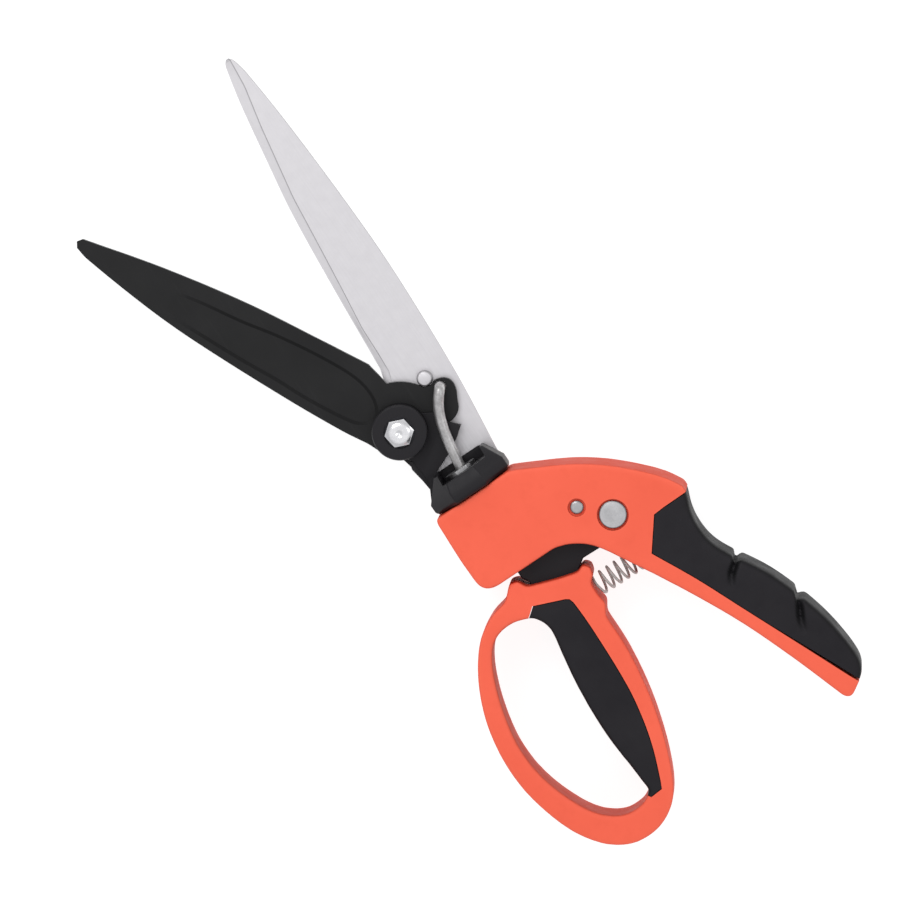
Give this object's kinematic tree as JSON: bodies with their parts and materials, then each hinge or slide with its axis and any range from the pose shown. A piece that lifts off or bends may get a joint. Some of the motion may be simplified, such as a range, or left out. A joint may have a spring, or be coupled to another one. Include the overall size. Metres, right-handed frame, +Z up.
{
  "type": "grass shears",
  "caption": "One-handed grass shears with a swivelling head, two pointed blades, a wire link and a sprung finger-loop lever.",
  "frame": {"origin": "middle of the collar's lowest flat, which the tool rests on; the swivel axis runs 16.8 mm above it", "axes": "+X along the swivel axis towards the blade tips, +Y to the finger-loop side, +Z up through the tool's side"},
  "size_m": [0.3387, 0.1621, 0.0336],
  "materials": {
    "orange_nylon": "fine moulded satin",
    "soft_grip": "matt overmoulded elastomer",
    "black_nylon": "satin moulded",
    "bright_steel": "fine satin plate",
    "coated_steel": "matt non-stick coating",
    "zinc_steel": "bright zinc plate",
    "bronze": "sintered bronze"
  },
  "bodies": {
    "root": {"handle_body": "orange_nylon", "palm_grip": "soft_grip", "lever_pivot_pin": "zinc_steel", "lever_stop_pin": "zinc_steel", "wave_washer": "zinc_steel"},
    "lever": {"lever_frame": "black_nylon", "lever_bush": "bronze", "finger_loop": "orange_nylon", "finger_pad": "soft_grip", "loop_pin_upper": "zinc_steel", "loop_pin_lower": "zinc_steel", "return_spring": "zinc_steel"},
    "head": {"swivel_head": "black_nylon", "swivel_sleeve": "zinc_steel", "swivel_nut": "zinc_steel", "fixed_blade": "bright_steel", "tang_pin_upper": "zinc_steel", "tang_pin_lower": "zinc_steel", "blade_stop_rivet": "bright_steel", "pivot_bolt": "zinc_steel", "bolt_washer": "zinc_steel", "pivot_nut": "zinc_steel"},
    "blade": {"moving_blade": "coated_steel", "blade_bush": "bronze"},
    "link": {"link_rod": "zinc_steel", "link_spool": "zinc_steel"}
  },
  "joints": [
    {"name": "lever_squeeze", "type": "hinge", "parent": "root", "child": "lever", "pos_m": [-0.0425, -0.04, 0.0168], "axis": [0, 0, 1], "range_deg": [0, 18.5], "stiffness_Nm_per_rad": 0.6, "springref_deg": -20.05, "deforming": ["return_spring"]},
    {"name": "head_swivel", "type": "hinge", "parent": "root", "child": "head", "pos_m": [-0.006, 0, 0.0168], "axis": [1, 0, 0], "range_deg": [-90, 90]},
    {"name": "blade_swing", "type": "hinge", "parent": "head", "child": "blade", "pos_m": [0.029, 0.0112, 0.0168], "axis": [0, 0, 1], "range_deg": [-34, 0]},
    {"name": "link_pivot", "type": "hinge", "parent": "blade", "child": "link", "pos_m": [0.0346, -0.0112, 0.0168], "axis": [0, 0, 1], "range_deg": [0, 34]}
  ],
  "couplings": [
    {"joint": "blade_swing", "follows": "lever_squeeze", "ratio": -1.8378},
    {"joint": "link_pivot", "follows": "lever_squeeze", "ratio": 1.8378}
  ]
}
